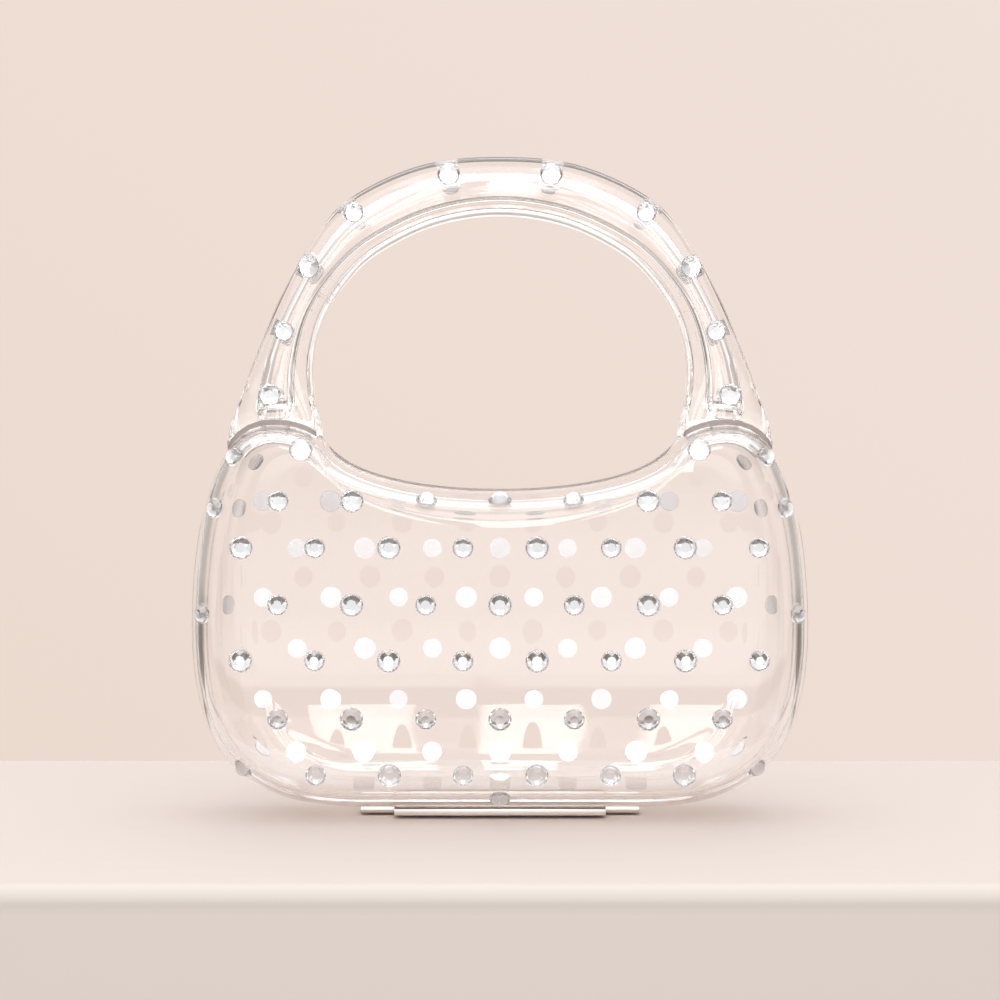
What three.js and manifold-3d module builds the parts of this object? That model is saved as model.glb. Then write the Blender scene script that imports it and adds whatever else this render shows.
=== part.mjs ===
// A clear acrylic handbag: two domed half shells, hinged along the bottom, that meet at an upright seam.
// Each half carries half of the arched handle, and flat-backed crystals stand on the shells and the handle.
// Millimetres, +Z up, the front towards -Y, the origin on the table under the middle of the bag.
import * as THREE from "three";
import { mergeVertices } from "three/addons/utils/BufferGeometryUtils.js";
import Module from "manifold-3d";

// Gaps between pieces
const SEAM_GAP = 0.4; // between the two halves
const FIT_GAP = 0.3; // between pieces that are bonded, or that turn in one another

// Half shells: the outline at the seam, and the smaller outline where the rounded edge runs into the face.
// Each is one half, from under the middle, round the side and over the shoulder, to the middle of the neckline.
const SEAM_OUTLINE = {
  bottomZ: 2.7,
  bottomFlat: 45,
  corner: { x1: 82.2, z2: 19.9 },
  side: { x: 98.2, z: 60, z1: 81.3, x2: 94.4 },
  crest: { x: 72, z: 124.6, x1: 64 },
  inner: { x: 53.6, z: 117, x2: 57.5, z2: 123, x1: 48.5, z1: 109.2 },
  neck: { z: 103.7, x2: 28 },
};
const FACE_OUTLINE = {
  bottomZ: 16.3,
  bottomFlat: 45,
  corner: { x1: 70.5, z2: 31.8 },
  side: { x: 84.8, z: 60, z1: 84, x2: 86 },
  crest: { x: 68, z: 114.9, x1: 62 },
  inner: { x: 52.2, z: 106.9, x2: 56.5, z2: 111.2, x1: 45.5, z1: 100.5 },
  neck: { z: 93.7, x2: 26 },
};
const OUTLINE_STEPS = 7; // points on each curved stretch of an outline
const WALL_DEPTH = 22; // from the seam to where the rounded edge starts
const WALL_INSET = 0.29; // share of the way from the seam outline to the face outline at that depth
const EDGE_PULL = { inset: 0.47, depth: 28.9 }; // what the rounded edge bends towards
const FACE_EDGE_DEPTH = 29.3;
const FACE_DEPTH = 31; // over the flat of the face
const FACE_FLAT = { scale: 0.84, centreZ: 45 }; // that flat, as a smaller copy of the face outline
const WALL = 2.8; // thickness of the acrylic
const WALL_STEPS = 2;
const EDGE_STEPS = 3; // of the rounded edge outside
const HOLLOW_STEPS = 2; // and inside
const FAN_HEIGHT = 0.15; // share of a form's height where the fan over its end starts

// Handle: sections from the top of the arch down one leg to inside the shoulder, from outer to inner edge.
const HANDLE_SECTIONS = [
  { outerX: 0, outerZ: 209, innerX: 0, innerZ: 191.5, halfDepth: 9 },
  { outerX: 25.4, outerZ: 206.2, innerX: 20.5, innerZ: 188.4, halfDepth: 9 },
  { outerX: 48.6, outerZ: 195.1, innerX: 38.6, innerZ: 179.8, halfDepth: 9.2 },
  { outerX: 61, outerZ: 180.2, innerX: 49.1, innerZ: 170.3, halfDepth: 9.8 },
  { outerX: 69.3, outerZ: 164.7, innerX: 56.4, innerZ: 158.9, halfDepth: 10.8 },
  { outerX: 76.2, outerZ: 148.4, innerX: 59.8, innerZ: 146.3, halfDepth: 12.2 },
  { outerX: 81.2, outerZ: 134.6, innerX: 59.7, innerZ: 134.5, halfDepth: 13.6 },
  { outerX: 85.9, outerZ: 119.5, innerX: 57.2, innerZ: 122, halfDepth: 15 },
  { outerX: 84.5, outerZ: 110, innerX: 59, innerZ: 112, halfDepth: 15 },
];
const HANDLE_STEPS = 2; // lofted steps from one section to the next
const HANDLE_WALL = 3;
const HANDLE_FLOOR = 1.45; // solid foot, counted in sections from the buried end
const HANDLE_OUTER_ROUND = { width: 2.2, depth: 3 };
const HANDLE_FACE_END = 0.82; // share of the width where the flat face gives way to the inner rounding
const HANDLE_INNER_DROP = 3; // how far the inner rounding falls back from the face
const HANDLE_DRAFT = 0.4;

// Crystals: two sizes of flat-backed stone, with a table and eight facets
const LARGE_STONE = 7.2;
const SMALL_STONE = 6.4;
const STONE_SIDES = 8;
const STONE_RISE = 0.36; // height above the surface, as a share of the diameter
const STONE_TABLE = 0.56; // table diameter, as a share of the whole
const STONE_SUNK = 0.8; // foot of a stone below the surface it is set in
const HALF_PITCH = 11.3; // stones in a row stand two of these apart, and rows are staggered by one

// Rows across each face, as half pitches from the middle
const FRONT_ROWS = [
  { z: 99.8, reach: 6 },
  { z: 85.5, reach: 7 },
  { z: 68.1, reach: 6 },
  { z: 51.1, reach: 7 },
  { z: 33.4, reach: 6 },
  { z: 15.7, reach: 5 },
];
const BACK_ROWS = [
  { z: 99.8, reach: 7 },
  { z: 84.2, reach: 6 },
  { z: 67.8, reach: 7 },
  { z: 50.7, reach: 6 },
  { z: 33.7, reach: 7 },
  { z: 16.5, reach: 6 },
];
// Stones round the edge of each face, one each side
const EDGE_STONES = [
  { x: 61, z: 115.4, size: LARGE_STONE },
  { x: 81.5, z: 113.2, size: SMALL_STONE },
  { x: 87.2, z: 97.6, size: SMALL_STONE },
  { x: 91, z: 65.4, size: SMALL_STONE },
  { x: 79, z: 17.6, size: SMALL_STONE },
];
const UNDER_STONE = { x: 0, z: 8.6, size: SMALL_STONE };
// Stones on the handle, from the top down each leg
const HANDLE_STONES = [
  { x: 16.2, z: 203 },
  { x: 46.2, z: 190.9 },
  { x: 60.4, z: 173.6 },
  { x: 68, z: 153.2 },
  { x: 72.2, z: 133 },
];

// Hinge: the leaves are the flat base that the bag stands on
const HINGE_HALF_LENGTH = 44.5;
const KNUCKLE_SPLIT = 33.4; // from the middle to where the middle knuckle ends
const BARREL_RADIUS = 1.4;
const BORE_RADIUS = 0.9;
const PIN_RADIUS = 0.6;
const LEAF_REACH = 9; // from the pin to the outer edge of a leaf
const LEAF_CLEAR = 2; // how far a leaf stays back from the other leaf's knuckle
const LEAF_THICK = 2.4;
const LEAF_EDGE_THICK = 3; // the leaves thicken outwards to follow the rising shell
const BARREL_GROOVE = { halfWidth: 1.9, top: 3.1, halfLength: 45 }; // cut in the shells for the barrel
const ROUND_SIDES = 16;

const acrylic = { color: 0xf4ebe6, roughness: 0.05, metalness: 0 };
const crystal = { color: 0xe8e8ec, roughness: 0.08, metalness: 0.2 };
const plate = { color: 0xc9bfb2, roughness: 0.28, metalness: 1 };

const wasm = await Module();
wasm.setup();

// Solids for joining and cutting, and the geometry of what is left
function solidOf(geometry) {
  const bare = new THREE.BufferGeometry();
  bare.setAttribute("position", geometry.getAttribute("position"));
  bare.setIndex(geometry.getIndex());
  const merged = mergeVertices(bare, 1e-4);
  const vertProperties = merged.getAttribute("position").array;
  const triVerts = new Uint32Array(merged.getIndex().array);
  return new wasm.Manifold(new wasm.Mesh({ numProp: 3, vertProperties, triVerts }));
}

function geometryOf(solid) {
  const { vertProperties, triVerts } = solid.getMesh();
  const geometry = new THREE.BufferGeometry();
  geometry.setAttribute("position", new THREE.BufferAttribute(vertProperties, 3));
  geometry.setIndex(new THREE.BufferAttribute(triVerts, 1));
  geometry.computeVertexNormals();
  return geometry;
}

function meshOf(name, geometry, finish) {
  const mesh = new THREE.Mesh(geometry, new THREE.MeshStandardMaterial(finish));
  mesh.name = name;
  return mesh;
}

// A closed skin over rings of equally many points, with a fan at each end.
// The fans start low in their rings, where all of the body's waisted outline is in sight.
function loft(rings) {
  const count = rings[0].length;
  const points = rings.flat();
  const index = [];
  rings.slice(1).forEach((_, r) => {
    for (let i = 0; i < count; i++) {
      const j = (i + 1) % count;
      const [a, b, c, d] = [r * count + i, r * count + j, (r + 1) * count + i, (r + 1) * count + j];
      index.push(a, b, d, a, d, c);
    }
  });
  [0, rings.length - 1].forEach((r) => {
    const box = new THREE.Box3().setFromPoints(rings[r]);
    const start = box.getCenter(new THREE.Vector3());
    start.z = THREE.MathUtils.lerp(box.min.z, box.max.z, FAN_HEIGHT);
    const tip = points.push(start) - 1;
    for (let i = 0; i < count; i++) {
      const j = (i + 1) % count;
      index.push(tip, r * count + (r === 0 ? j : i), r * count + (r === 0 ? i : j));
    }
  });
  return new THREE.BufferGeometry().setFromPoints(points).setIndex(index);
}

// Half an outline of the body, mirrored into a closed loop of x, z points
function outlineLoop({ bottomZ, bottomFlat, corner, side, crest, inner, neck }) {
  const half = new THREE.Path();
  half.moveTo(0, bottomZ);
  half.lineTo(bottomFlat, bottomZ);
  half.bezierCurveTo(corner.x1, bottomZ, side.x, corner.z2, side.x, side.z);
  half.bezierCurveTo(side.x, side.z1, side.x2, crest.z, crest.x, crest.z);
  half.bezierCurveTo(crest.x1, crest.z, inner.x2, inner.z2, inner.x, inner.z);
  half.bezierCurveTo(inner.x1, inner.z1, neck.x2, neck.z, 0, neck.z);
  const right = half.getPoints(OUTLINE_STEPS);
  const left = right.slice(1, -1).map((p) => new THREE.Vector2(-p.x, p.y));
  return [...right, ...left.reverse()];
}

function grown(loop, distance) {
  return loop.map((p, i) => {
    const before = loop[(i + loop.length - 1) % loop.length];
    const after = loop[(i + 1) % loop.length];
    const along = after.clone().sub(before).normalize();
    return new THREE.Vector2(p.x + along.y * distance, p.y - along.x * distance);
  });
}

// The section of a half shell from the seam to the edge of its face: how far in, against how deep
function edgeProfile(edgeSteps) {
  const profile = [];
  for (let i = 0; i <= WALL_STEPS; i++) {
    const share = i / WALL_STEPS;
    profile.push({ inset: WALL_INSET * share ** 2, depth: WALL_DEPTH * share });
  }
  const edge = new THREE.QuadraticBezierCurve(
    new THREE.Vector2(WALL_INSET, WALL_DEPTH),
    new THREE.Vector2(EDGE_PULL.inset, EDGE_PULL.depth),
    new THREE.Vector2(1, FACE_EDGE_DEPTH),
  );
  const round = edge.getPoints(edgeSteps).slice(1);
  return [...profile, ...round.map((p) => ({ inset: p.x, depth: p.y }))];
}

// One half of the body as a solid form: grow moves its skin out, and start is the depth of its open side
function bodyForm(grow, start, edgeSteps) {
  const seam = grown(outlineLoop(SEAM_OUTLINE), grow);
  const face = grown(outlineLoop(FACE_OUTLINE), Math.max(grow, 0));
  const deeper = (FACE_DEPTH + grow) / FACE_DEPTH;
  const rings = edgeProfile(edgeSteps).map(({ inset, depth }, step) => {
    const y = -(step === 0 ? start : depth * deeper);
    return seam.map((p, i) => {
      const q = p.clone().lerp(face[i], inset);
      return new THREE.Vector3(q.x, y, q.y);
    });
  });
  const flat = face.map((p) => {
    const z = THREE.MathUtils.lerp(FACE_FLAT.centreZ, p.y, FACE_FLAT.scale);
    return new THREE.Vector3(p.x * FACE_FLAT.scale, -FACE_DEPTH * deeper, z);
  });
  return solidOf(loft([...rings, flat]));
}

// A stone's frustum with its foot at the origin and its table towards +Y
function stoneGeometry(diameter, sunk) {
  const rise = diameter * STONE_RISE;
  const tableRadius = (diameter * STONE_TABLE) / 2;
  const geometry = new THREE.CylinderGeometry(tableRadius, diameter / 2, rise + sunk, STONE_SIDES);
  return geometry.translate(0, (rise - sunk) / 2, 0);
}

// Where a line of sight from the front meets a piece, and how the surface faces there
function surfaceAt(mesh, x, z) {
  const eye = new THREE.Vector3(x, -10 * FACE_DEPTH, z);
  const [hit] = new THREE.Raycaster(eye, new THREE.Vector3(0, 1, 0)).intersectObject(mesh);
  return { point: hit.point, facing: hit.face.normal };
}

function stoneTurn(facing) {
  return new THREE.Quaternion().setFromUnitVectors(new THREE.Vector3(0, 1, 0), facing);
}

// Every stone of one shell as x, z and size: the staggered rows, the edge stones and the one underneath
function shellStones(rows) {
  const stones = [UNDER_STONE];
  rows.forEach(({ z, reach }) => {
    for (let k = -reach; k <= reach; k += 2) {
      const size = THREE.MathUtils.euclideanModulo(k, 4) < 2 ? LARGE_STONE : SMALL_STONE;
      stones.push({ x: k * HALF_PITCH, z, size });
    }
  });
  EDGE_STONES.forEach(({ x, z, size }) => {
    stones.push({ x, z, size }, { x: -x, z, size });
  });
  return stones;
}

function barrelGroove() {
  const { halfWidth, top, halfLength } = BARREL_GROOVE;
  return solidOf(new THREE.BoxGeometry(2 * halfLength, 2 * halfWidth, 2 * top));
}

// A half shell, hollow and open at the seam, with its field of stones set in it
function shell(name, rows) {
  const hollow = bodyForm(-WALL, -WALL, HOLLOW_STEPS);
  const wall = bodyForm(0, SEAM_GAP / 2, EDGE_STEPS).subtract(hollow).subtract(barrelGroove());
  const bare = meshOf(name, geometryOf(wall), acrylic);
  const setStones = shellStones(rows).reduce((solid, { x, z, size }) => {
    const { point, facing } = surfaceAt(bare, x, z);
    const stone = stoneGeometry(size, STONE_SUNK);
    stone.applyQuaternion(stoneTurn(facing));
    stone.translate(point.x, point.y, point.z);
    return solid.add(solidOf(stone));
  }, wall);
  return meshOf(name, geometryOf(setStones), acrylic);
}

// The whole arch's sections, from one buried foot to the other, eased between the rows of the table
function handleCurves() {
  const mirrored = HANDLE_SECTIONS.slice(1).map((row) => ({
    ...row,
    outerX: -row.outerX,
    innerX: -row.innerX,
  }));
  const rows = [...mirrored.reverse(), ...HANDLE_SECTIONS];
  const outer = rows.map((row) => new THREE.Vector3(row.outerX, -row.halfDepth, row.outerZ));
  const inner = rows.map((row) => new THREE.Vector3(row.innerX, -row.halfDepth, row.innerZ));
  return {
    outer: new THREE.CatmullRomCurve3(outer, false, "catmullrom", 0.5),
    inner: new THREE.CatmullRomCurve3(inner, false, "catmullrom", 0.5),
    intervals: rows.length - 1,
  };
}

// Outer section of half the handle: across from the outer edge, against how far it stands from the seam
function handleSection(width, depth) {
  const { width: roundWidth, depth: roundDepth } = HANDLE_OUTER_ROUND;
  const section = new THREE.Path();
  section.moveTo(0, SEAM_GAP / 2);
  section.lineTo(HANDLE_DRAFT, depth - roundDepth);
  section.quadraticCurveTo(HANDLE_DRAFT, depth, roundWidth, depth);
  section.lineTo(width * HANDLE_FACE_END, depth);
  section.quadraticCurveTo(width - HANDLE_DRAFT, depth, width - HANDLE_DRAFT, depth - HANDLE_INNER_DROP);
  section.lineTo(width, SEAM_GAP / 2);
  return section.getPoints(2);
}

// The hollow in it, open at the seam
function handleHollow(width, depth) {
  const low = HANDLE_WALL;
  const high = width - HANDLE_WALL;
  const floor = depth - HANDLE_WALL;
  const section = new THREE.Path();
  section.moveTo(low, -SEAM_GAP);
  section.lineTo(low, floor - HANDLE_WALL);
  section.lineTo(low + HANDLE_WALL, floor);
  section.lineTo(high - HANDLE_WALL, floor);
  section.lineTo(high, floor - HANDLE_WALL);
  section.lineTo(high, -SEAM_GAP);
  return section.getPoints();
}

// A sweep of one of those sections along the arch, leaving out the given number of intervals at each foot
function handleSweep(sectionAt, leaveOut) {
  const { outer, inner, intervals } = handleCurves();
  const steps = Math.round((intervals - 2 * leaveOut) * HANDLE_STEPS);
  const rings = [];
  for (let i = 0; i <= steps; i++) {
    const t = THREE.MathUtils.lerp(leaveOut / intervals, 1 - leaveOut / intervals, i / steps);
    const from = outer.getPoint(t);
    const across = inner.getPoint(t).sub(from);
    const depth = -from.y;
    const width = Math.hypot(across.x, across.z);
    const ring = sectionAt(width, depth).map(({ x, y }) => {
      const share = x / width;
      return new THREE.Vector3(from.x + across.x * share, -y, from.z + across.z * share);
    });
    rings.push(ring);
  }
  return solidOf(loft(rings));
}

// Half of the handle: a channel open at the seam, with solid feet cut to sit on the shoulders
function handle(name) {
  const channel = handleSweep(handleSection, 0).subtract(handleSweep(handleHollow, HANDLE_FLOOR));
  const seated = channel.subtract(bodyForm(FIT_GAP, -FIT_GAP, EDGE_STEPS));
  return meshOf(name, geometryOf(seated), acrylic);
}

function handleStones(name, carrier) {
  const stones = [];
  [-1, 1].forEach((side) => {
    HANDLE_STONES.forEach(({ x, z }, i) => {
      const { point, facing } = surfaceAt(carrier, side * x, z);
      const label = `${name}_${side < 0 ? "left" : "right"}_${i + 1}`;
      const size = i % 2 === 0 ? LARGE_STONE : SMALL_STONE;
      const stone = meshOf(label, stoneGeometry(size, 0), crystal);
      stone.quaternion.copy(stoneTurn(facing));
      stone.position.copy(point).addScaledVector(facing, FIT_GAP);
      stones.push(stone);
    });
  });
  return stones;
}

// One half of the bag, seen from its own front
function bagHalf(side, rows) {
  const half = new THREE.Group();
  const arch = handle(`${side}_handle`);
  half.add(shell(`${side}_shell`, rows), arch, ...handleStones(`${side}_handle_stone`, arch));
  return half;
}

// A prism along X of a section in y, z, from x low to x high
function prism(corners, low, high) {
  const section = new THREE.Shape(corners.map(([y, z]) => new THREE.Vector2(y, z)));
  const geometry = new THREE.ExtrudeGeometry(section, { depth: high - low, bevelEnabled: false });
  const toX = new THREE.Matrix4().makeBasis(
    new THREE.Vector3(0, 1, 0),
    new THREE.Vector3(0, 0, 1),
    new THREE.Vector3(1, 0, 0),
  );
  return solidOf(geometry.applyMatrix4(toX).translate(low, 0, 0));
}

function rod(radius, low, high) {
  const geometry = new THREE.CylinderGeometry(radius, radius, high - low, ROUND_SIDES);
  geometry.rotateY(Math.PI / ROUND_SIDES).rotateZ(Math.PI / 2);
  return geometry.translate((low + high) / 2, 0, BARREL_RADIUS * Math.cos(Math.PI / ROUND_SIDES));
}

// A leaf towards +Y: a plate, and knuckles that are its own stretches of the barrel
function hingeLeaf(name, plateHalf, knuckles) {
  const top = THREE.MathUtils.mapLinear(LEAF_CLEAR, 0, LEAF_REACH, LEAF_THICK, LEAF_EDGE_THICK);
  const plateCorners = [[LEAF_CLEAR, 0], [LEAF_REACH, 0], [LEAF_REACH, LEAF_EDGE_THICK], [LEAF_CLEAR, top]];
  const webCorners = [[0, 0], [LEAF_CLEAR, 0], [LEAF_CLEAR, top], [0, LEAF_THICK]];
  let leaf = prism(plateCorners, -plateHalf, plateHalf);
  knuckles.forEach(([low, high]) => {
    leaf = leaf.add(prism(webCorners, low, high)).add(solidOf(rod(BARREL_RADIUS, low, high)));
  });
  leaf = leaf.subtract(solidOf(rod(BORE_RADIUS, -HINGE_HALF_LENGTH - 1, HINGE_HALF_LENGTH + 1)));
  return meshOf(name, geometryOf(leaf), plate);
}

const knuckleEnd = KNUCKLE_SPLIT + FIT_GAP;
const frontLeaf = hingeLeaf("hinge_front_leaf", KNUCKLE_SPLIT, [[-KNUCKLE_SPLIT, KNUCKLE_SPLIT]]);
const backLeaf = hingeLeaf("hinge_back_leaf", HINGE_HALF_LENGTH, [
  [-HINGE_HALF_LENGTH, -knuckleEnd],
  [knuckleEnd, HINGE_HALF_LENGTH],
]);
const pin = meshOf("hinge_pin", rod(PIN_RADIUS, -HINGE_HALF_LENGTH, HINGE_HALF_LENGTH), plate);

// The back half and the front leaf are turned about Z to face the other way
const bag = new THREE.Group();
const frontHalf = bagHalf("front", FRONT_ROWS);
const backHalf = bagHalf("back", BACK_ROWS);
backHalf.rotation.z = Math.PI;
frontLeaf.rotation.z = Math.PI;
bag.add(frontHalf, backHalf, frontLeaf, backLeaf, pin);

export default bag;
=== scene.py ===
from math import cos, pi, radians, sin

import bmesh
import bpy
from mathutils import Matrix, Vector
from mathutils.bvhtree import BVHTree
from mathutils.geometry import interpolate_bezier


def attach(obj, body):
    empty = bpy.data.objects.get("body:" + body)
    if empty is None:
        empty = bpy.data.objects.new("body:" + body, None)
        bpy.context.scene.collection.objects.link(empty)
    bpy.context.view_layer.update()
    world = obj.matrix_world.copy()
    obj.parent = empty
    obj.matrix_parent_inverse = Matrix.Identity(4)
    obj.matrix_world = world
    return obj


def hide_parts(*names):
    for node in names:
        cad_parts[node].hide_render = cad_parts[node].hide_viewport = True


# A clear acrylic handbag: two half shells and two half handles, crystals all over, a hinge underneath.
# Sizes in the dictionaries are millimetres, meshes are metres, the front faces -Y.
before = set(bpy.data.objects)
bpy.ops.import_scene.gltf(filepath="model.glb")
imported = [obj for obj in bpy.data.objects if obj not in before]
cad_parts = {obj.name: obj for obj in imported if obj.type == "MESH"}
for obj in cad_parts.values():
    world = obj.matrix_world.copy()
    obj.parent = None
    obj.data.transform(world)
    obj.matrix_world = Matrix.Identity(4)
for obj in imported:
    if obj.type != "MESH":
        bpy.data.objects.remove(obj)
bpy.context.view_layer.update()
mm = 0.001
# The back half is the front one turned round
halves = {"front": Matrix.Identity(4), "back": Matrix.Rotation(pi, 4, "Z")}
print("frame loaded:", len(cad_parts), "nodes")


# Small helpers

def linear(hexColour):
    channels = [int(hexColour[i:i + 2], 16) / 255 for i in (1, 3, 5)]
    return [*(c / 12.92 if c <= 0.04045 else ((c + 0.055) / 1.055) ** 2.4 for c in channels), 1]


def addNode(tree, kind, inputs=None, **settings):
    node = tree.nodes.new(kind)
    for name, value in settings.items():
        setattr(node, name, value)
    for name, value in (inputs or {}).items():
        if isinstance(value, bpy.types.NodeSocket):
            tree.links.new(value, node.inputs[name])
        else:
            node.inputs[name].default_value = value
    return node


def newMaterial(name):
    material = bpy.data.materials.new(name)
    material.use_nodes = True
    material.node_tree.nodes.clear()
    return material, material.node_tree


def meshObject(bm, name, *materials):
    mesh = bpy.data.meshes.new(name)
    bm.to_mesh(mesh)
    bm.free()
    for material in materials:
        mesh.materials.append(material)
    obj = bpy.data.objects.new(name, mesh)
    bpy.context.scene.collection.objects.link(obj)
    return obj


def settle(obj):  # what the modifiers make becomes the mesh itself
    made = bpy.data.meshes.new_from_object(obj.evaluated_get(bpy.context.evaluated_depsgraph_get()))
    obj.modifiers.clear()
    obj.data = made


def cut(obj, cutter, operation="DIFFERENCE"):
    boolean = obj.modifiers.new("cut", "BOOLEAN")
    boolean.operation = operation
    boolean.solver = "EXACT"
    boolean.object = cutter
    settle(obj)
    bpy.data.objects.remove(cutter)


def smoothed(obj, angle):
    obj.data.polygons.foreach_set("use_smooth", [True] * len(obj.data.polygons))
    obj.data.set_sharp_from_angle(angle=radians(angle))


def dress(obj, body, slot, *nodes):
    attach(obj, body)
    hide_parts(*nodes)


def bezierChain(chain, steps):  # every third point is a knot, the two between are handles
    points = [Vector(chain[0])]
    for i in range(0, len(chain) - 1, 3):
        points += interpolate_bezier(*(Vector(p) for p in chain[i:i + 4]), steps + 1)[1:]
    return points


def easedThrough(points, steps):  # a smooth curve through points, with handles taken from their neighbours
    ends = [2 * points[0] - points[1], *points, 2 * points[-1] - points[-2]]
    chain = [points[0]]
    for before, here, there, after in zip(ends, ends[1:], ends[2:], ends[3:]):
        chain += [here + (there - before) / 6, there - (after - here) / 6, there]
    return bezierChain(chain, steps)


def vertsOf(geom):
    return [g for g in geom if isinstance(g, bmesh.types.BMVert)]


def loftRings(rings):  # the first ring is drawn, and each next one is extruded and moved into place
    bm = bmesh.new()
    place = bm.verts.layers.int.new("place")
    verts = [bm.verts.new(p) for p in rings[0]]
    for i, v in enumerate(verts):
        v[place] = i
    edges = [bm.edges.new(pair) for pair in zip(verts, verts[1:] + verts[:1])]
    for ring in rings[1:]:
        grown = bmesh.ops.extrude_edge_only(bm, edges=edges)["geom"]
        for v in vertsOf(grown):
            v.co = ring[v[place]]
        edges = [e for e in grown if isinstance(e, bmesh.types.BMEdge) and e.is_boundary]
    bm.verts.layers.int.remove(place)
    return bm


def closeEnds(bm):
    bmesh.ops.holes_fill(bm, edges=[e for e in bm.edges if e.is_boundary], sides=0)
    bmesh.ops.recalc_face_normals(bm, faces=bm.faces)


def treeOf(bm):  # for finding where a stone sits
    tree = BVHTree.FromBMesh(bm)
    bm.free()
    return tree


# Acrylic: PMMA, injection moulded and flame polished. Clear to the core, so it shows by its bent edges and
# reflections. Slow flow ripples from the mould keep the reflections from being ruler straight.

def mouldedAcrylic():
    material, tree = newMaterial("moulded clear acrylic")
    rippleSize, hazeSize = 34 * mm, 9 * mm
    where = addNode(tree, "ShaderNodeTexCoord").outputs["Object"]
    ripple = addNode(tree, "ShaderNodeTexNoise", {"Vector": where, "Scale": 1 / rippleSize, "Detail": 1.0})
    haze = addNode(tree, "ShaderNodeTexNoise", {"Vector": where, "Scale": 1 / hazeSize, "Detail": 3.0})
    polish = addNode(tree, "ShaderNodeMapRange", {
        "Value": haze.outputs["Fac"], "From Min": 0.35, "From Max": 0.75, "To Min": 0.0, "To Max": 0.035})
    bump = addNode(tree, "ShaderNodeBump", {
        "Height": ripple.outputs["Fac"], "Strength": 0.25, "Distance": 0.25 * mm})
    acrylic = addNode(tree, "ShaderNodeBsdfPrincipled", {
        "Base Color": linear("#fffefe"), "Transmission Weight": 1.0, "IOR": 1.49,
        "Roughness": polish.outputs["Result"], "Normal": bump.outputs["Normal"]})
    # lamps shine through, a little warmed
    passing = addNode(tree, "ShaderNodeBsdfTransparent", {"Color": linear("#f8f3f0")})
    path = addNode(tree, "ShaderNodeLightPath")
    mix = addNode(tree, "ShaderNodeMixShader", {
        0: path.outputs["Is Shadow Ray"], 1: acrylic.outputs[0], 2: passing.outputs[0]})
    addNode(tree, "ShaderNodeOutputMaterial", {"Surface": mix.outputs[0]})
    return material


# Sanded edge: the same acrylic, cut and sanded flat where the halves meet.
# Matt, and its taupe tint is painted shade, so a taupe line follows the outline.

def sandedShadedEdge():
    material, tree = newMaterial("sanded acrylic edge")
    gritSize = 0.8 * mm  # coarser than real sanding, so that it shows
    where = addNode(tree, "ShaderNodeTexCoord").outputs["Object"]
    grit = addNode(tree, "ShaderNodeTexNoise", {"Vector": where, "Scale": 1 / gritSize, "Detail": 2.0})
    # the two taupe tones are painted shade along the outline
    tone = addNode(tree, "ShaderNodeMix", {
        "Factor": grit.outputs["Fac"], 6: linear("#c9bbb3"), 7: linear("#dacec7")}, data_type="RGBA")
    edge = addNode(tree, "ShaderNodeBsdfPrincipled", {
        "Base Color": tone.outputs[2], "Transmission Weight": 0.85, "IOR": 1.49, "Roughness": 0.35})
    addNode(tree, "ShaderNodeOutputMaterial", {"Surface": edge.outputs[0]})
    return material


# Cement: solvent glue, set in the undercut of the handle's feet.
# Cloudy and tinted taupe as painted shade, so it shows as a taupe line under each foot.

def setCementShade():
    material, tree = newMaterial("set acrylic cement")
    cloudSize = 3 * mm
    where = addNode(tree, "ShaderNodeTexCoord").outputs["Object"]
    cloud = addNode(tree, "ShaderNodeTexNoise", {"Vector": where, "Scale": 1 / cloudSize, "Detail": 3.0})
    # the taupe tones are painted shade for the dark band under each foot
    tone = addNode(tree, "ShaderNodeMix", {
        "Factor": cloud.outputs["Fac"], 6: linear("#b3a49d"), 7: linear("#c9bcb5")}, data_type="RGBA")
    glue = addNode(tree, "ShaderNodeBsdfPrincipled", {
        "Base Color": tone.outputs[2], "Transmission Weight": 0.5, "IOR": 1.45, "Roughness": 0.3})
    addNode(tree, "ShaderNodeOutputMaterial", {"Surface": glue.outputs[0]})
    return material


# Crystal: cut lead glass, polished facets. Brighter bends than acrylic, so each stone sparkles.

def cutCrystal():
    material, tree = newMaterial("cut crystal glass")
    wipeSize = 2 * mm
    where = addNode(tree, "ShaderNodeTexCoord").outputs["Object"]
    wipe = addNode(tree, "ShaderNodeTexNoise", {"Vector": where, "Scale": 1 / wipeSize, "Detail": 2.0})
    polish = addNode(tree, "ShaderNodeMapRange", {
        "Value": wipe.outputs["Fac"], "From Min": 0.4, "From Max": 0.8, "To Min": 0.0, "To Max": 0.04})
    glass = addNode(tree, "ShaderNodeBsdfPrincipled", {
        "Base Color": linear("#fdfdff"), "Transmission Weight": 1.0, "IOR": 1.58,
        "Roughness": polish.outputs["Result"]})
    passing = addNode(tree, "ShaderNodeBsdfTransparent", {"Color": linear("#f4f4f6")})
    path = addNode(tree, "ShaderNodeLightPath")
    mix = addNode(tree, "ShaderNodeMixShader", {
        0: path.outputs["Is Shadow Ray"], 1: glass.outputs[0], 2: passing.outputs[0]})
    addNode(tree, "ShaderNodeOutputMaterial", {"Surface": mix.outputs[0]})
    return material


# Foil: silver vapour on the flat backs of the stones. A bright mirror under the glass, whiter than steel.

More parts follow.
